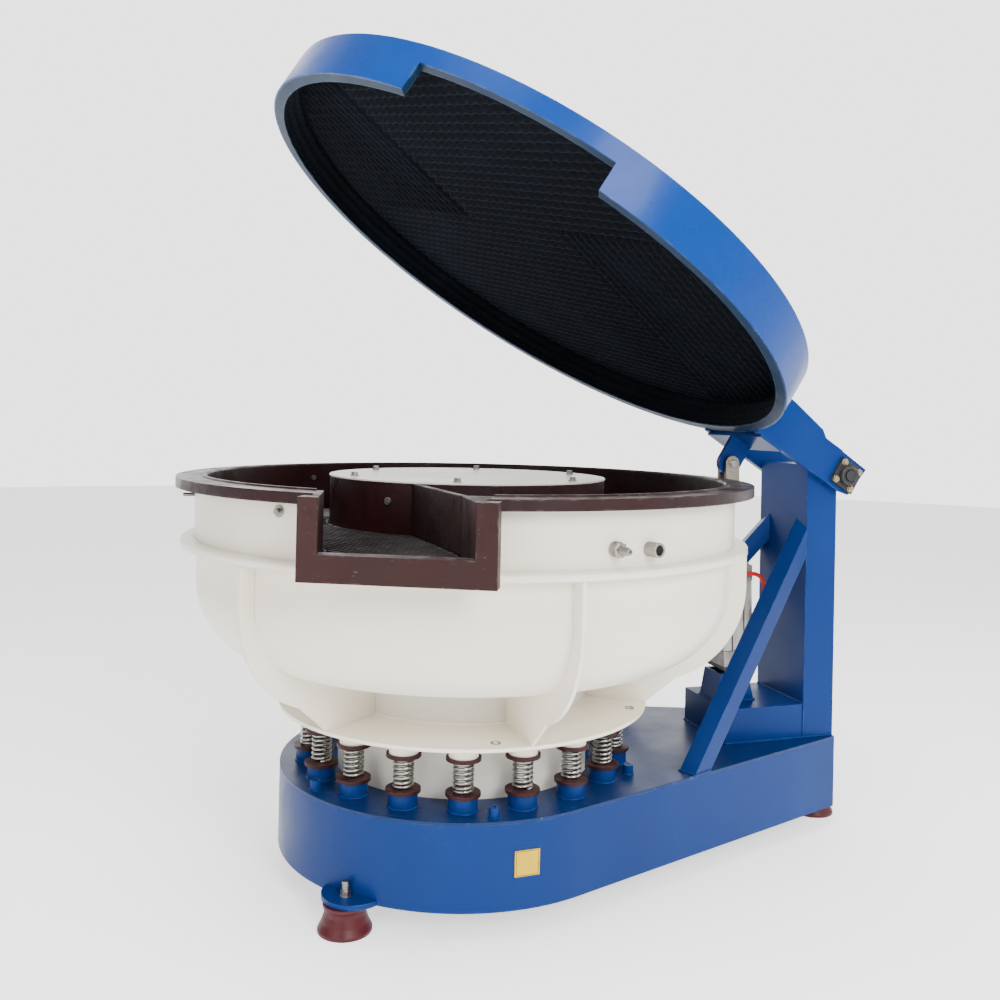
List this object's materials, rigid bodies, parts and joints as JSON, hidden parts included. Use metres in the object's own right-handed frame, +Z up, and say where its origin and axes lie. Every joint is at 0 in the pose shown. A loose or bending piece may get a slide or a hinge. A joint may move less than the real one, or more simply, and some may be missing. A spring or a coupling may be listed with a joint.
{
  "type": "vibratory finishing bowl",
  "caption": "Vibratory finishing bowl on coil springs, with a discharge chute, a screen deck, and a raised sound lid that an air cylinder lifts.",
  "frame": {"origin": "on the floor, under the middle of the whole machine's bounding box with the lid raised", "axes": "+Z up, +X from the bowl towards the lid's column, -Y towards the side with the discharge chute"},
  "size_m": [1.9079, 1.6106, 2.0625],
  "materials": {
    "blue_paint": "gloss paint",
    "cream_paint": "semi-gloss paint",
    "polyurethane": "cast polyurethane, scuffed",
    "pu_coated_steel": "steel coated with polyurethane",
    "foot_rubber": "dark red rubber",
    "pad_rubber": "dark red rubber",
    "spring_steel": "bright wire",
    "plain_steel": "plain steel",
    "motor_aluminium": "painted aluminium",
    "cast_weight": "flame-cut plate",
    "label_film": "printed film",
    "foam": "open-cell foam",
    "black_iron": "black paint",
    "anodised_aluminium": "anodised",
    "hose_plastic": "red polyurethane tube",
    "rod_chrome": "polished",
    "stainless": "machined"
  },
  "bodies": {
    "frame": {"base_skirt": "blue_paint", "base_top_plate": "blue_paint", "foot_brackets": "blue_paint", "rubber_feet": "foot_rubber", "foot_bolts": "plain_steel", "spring_bosses": "blue_paint", "lower_spring_pads": "pad_rubber", "springs": "spring_steel", "transport_bosses": "blue_paint", "info_label": "label_film", "column": "blue_paint", "pedestal": "blue_paint", "near_brace": "blue_paint", "far_brace": "blue_paint", "cylinder_post": "blue_paint", "cylinder_pin": "plain_steel", "pivot_tube": "blue_paint", "hinge_shaft": "plain_steel"},
    "bowl": {"spring_plate": "cream_paint", "upper_spring_pads": "pad_rubber", "spring_cups": "cream_paint", "motor_drum": "cream_paint", "bowl_shell": "cream_paint", "belt_ring": "cream_paint", "belly_ribs": "cream_paint", "bowl_lining": "polyurethane", "hub_cover": "cream_paint", "cover_bolts": "plain_steel", "chute_box": "polyurethane", "chute_frame": "polyurethane", "screen_deck": "pu_coated_steel", "divider_wall": "polyurethane", "hose_nipple": "plain_steel", "drain_socket": "plain_steel", "wall_studs": "plain_steel", "lining_bolts": "plain_steel", "motor_mount": "plain_steel", "motor_body": "motor_aluminium", "flap_pin": "plain_steel"},
    "rotor": {"motor_shaft": "plain_steel", "upper_weight": "cast_weight", "lower_weight": "cast_weight"},
    "flap": {"unload_flap": "pu_coated_steel"},
    "lid": {"lid_shell": "blue_paint", "lid_lip": "blue_paint", "ceiling_foam": "foam", "wall_foam": "foam", "near_arm": "blue_paint", "far_arm": "blue_paint", "cross_channel": "blue_paint", "lift_lug": "blue_paint", "flange_bearings": "black_iron", "bearing_bolts": "plain_steel"},
    "cylinder": {"cylinder_barrel": "anodised_aluminium", "cylinder_caps": "anodised_aluminium", "rear_clevis": "black_iron", "port_fittings": "plain_steel", "air_hose": "hose_plastic"},
    "rod": {"piston_rod": "rod_chrome", "rod_clevis": "stainless"}
  },
  "joints": [
    {"name": "bowl_bounce", "type": "slide", "parent": "frame", "child": "bowl", "axis": [0, 0, 1], "range_m": [-0.004, 0.004], "stiffness_N_per_m": 334200, "springref_m": 0.02028, "deforming": ["springs"]},
    {"name": "rotor_spin", "type": "hinge", "parent": "bowl", "child": "rotor", "pos_m": [-0.204, 0.01743, 0.6], "axis": [0, 0, 1], "continuous": true},
    {"name": "flap_hinge", "type": "hinge", "parent": "bowl", "child": "flap", "pos_m": [-0.71673, 0.21682, 0.876], "axis": [-0.9397, 0.342, 0], "range_deg": [0, 48]},
    {"name": "lid_hinge", "type": "hinge", "parent": "frame", "child": "lid", "pos_m": [0.88, 0.01743, 1.018], "axis": [0, 1, 0], "range_deg": [-31.87, 0]},
    {"name": "cylinder_swing", "type": "hinge", "parent": "frame", "child": "cylinder", "pos_m": [0.608, 0.01743, 0.413], "axis": [0, 1, 0], "range_deg": [0, 2.3]},
    {"name": "rod_slide", "type": "slide", "parent": "cylinder", "child": "rod", "axis": [-0.032, 0, 0.9995], "range_m": [-0.162, 0]}
  ],
  "couplings": [
    {"joint": "cylinder_swing", "follows": "lid_hinge", "ratio": -0.07},
    {"joint": "rod_slide", "follows": "lid_hinge", "m_per_rad": 0.289}
  ]
}
